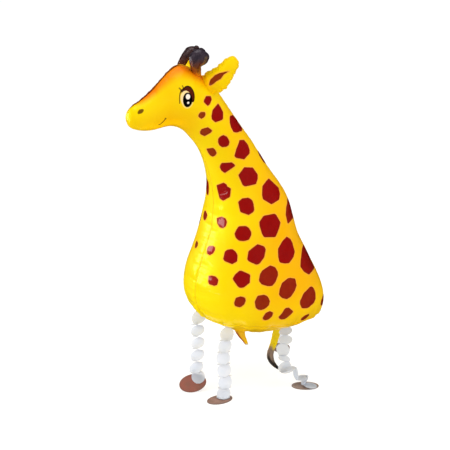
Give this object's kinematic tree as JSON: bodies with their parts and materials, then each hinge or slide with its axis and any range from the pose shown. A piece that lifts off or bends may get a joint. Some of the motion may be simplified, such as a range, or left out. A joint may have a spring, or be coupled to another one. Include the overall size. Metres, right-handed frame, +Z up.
{
  "type": "foil balloon giraffe",
  "caption": "Inflated foil giraffe with a spotted yellow body, dark horns and leaf ears, standing on folded paper legs with oval card hooves.",
  "frame": {"origin": "on the floor, under the middle of the figure's bounding box", "axes": "+Z up; the animal faces -Y; +X is its own left side"},
  "size_m": [0.35, 0.5696, 0.8727],
  "materials": {
    "printed_foil": "glossy printed film, yellow with dark red spots",
    "strip_foil": "glossy printed film, yellow fading to black at the tail tip",
    "white_paper": "matt white paper",
    "brown_card": "matt brown card"
  },
  "bodies": {
    "root": {"foil_envelope": "printed_foil", "tail": "strip_foil", "filling_tab": "strip_foil", "leg_front_left": "white_paper", "leg_front_right": "white_paper", "leg_rear_right": "white_paper", "leg_rear_left": "white_paper", "hoof_front_left": "brown_card", "hoof_front_right": "brown_card", "hoof_rear_left": "brown_card", "hoof_rear_right": "brown_card"}
  },
  "joints": []
}
